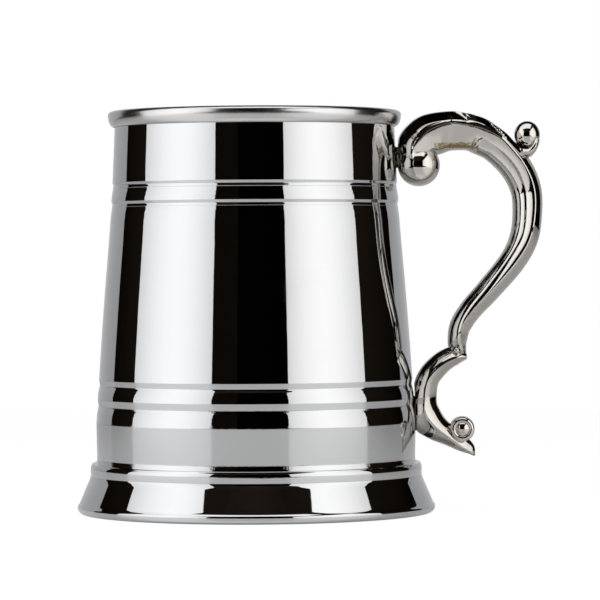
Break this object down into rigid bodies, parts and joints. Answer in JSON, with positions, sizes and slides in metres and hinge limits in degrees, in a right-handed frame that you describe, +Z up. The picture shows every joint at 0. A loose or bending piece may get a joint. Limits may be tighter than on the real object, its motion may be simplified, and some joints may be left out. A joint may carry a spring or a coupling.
{
  "type": "tankard",
  "caption": "Tapered sheet-steel drinking tankard with a beaded rim, fine rolled steps, a flared foot and a cast scroll handle with a thumb knob.",
  "frame": {"origin": "centre of the bounding box's base: the foot's land is on Z = 0, and the drum's axis is 16.3 mm towards -X from the origin", "axes": "+X from the drum towards the handle, +Y away from the viewer when the handle is on the right, +Z up"},
  "size_m": [0.1394, 0.1068, 0.12],
  "materials": {
    "polished_steel": "mirror-polished stainless steel",
    "cast_steel": "polished casting with a slightly warm tone",
    "inner_steel": "plain drawn sheet, lightly brushed",
    "solder": "dull solder and braze"
  },
  "bodies": {
    "root": {"body_drum": "polished_steel", "rim_ring": "polished_steel", "floor_disc": "inner_steel", "foot_skirt": "polished_steel", "foot_solder": "solder", "scroll_handle": "cast_steel", "upper_braze": "solder", "lower_braze": "solder"}
  },
  "joints": []
}
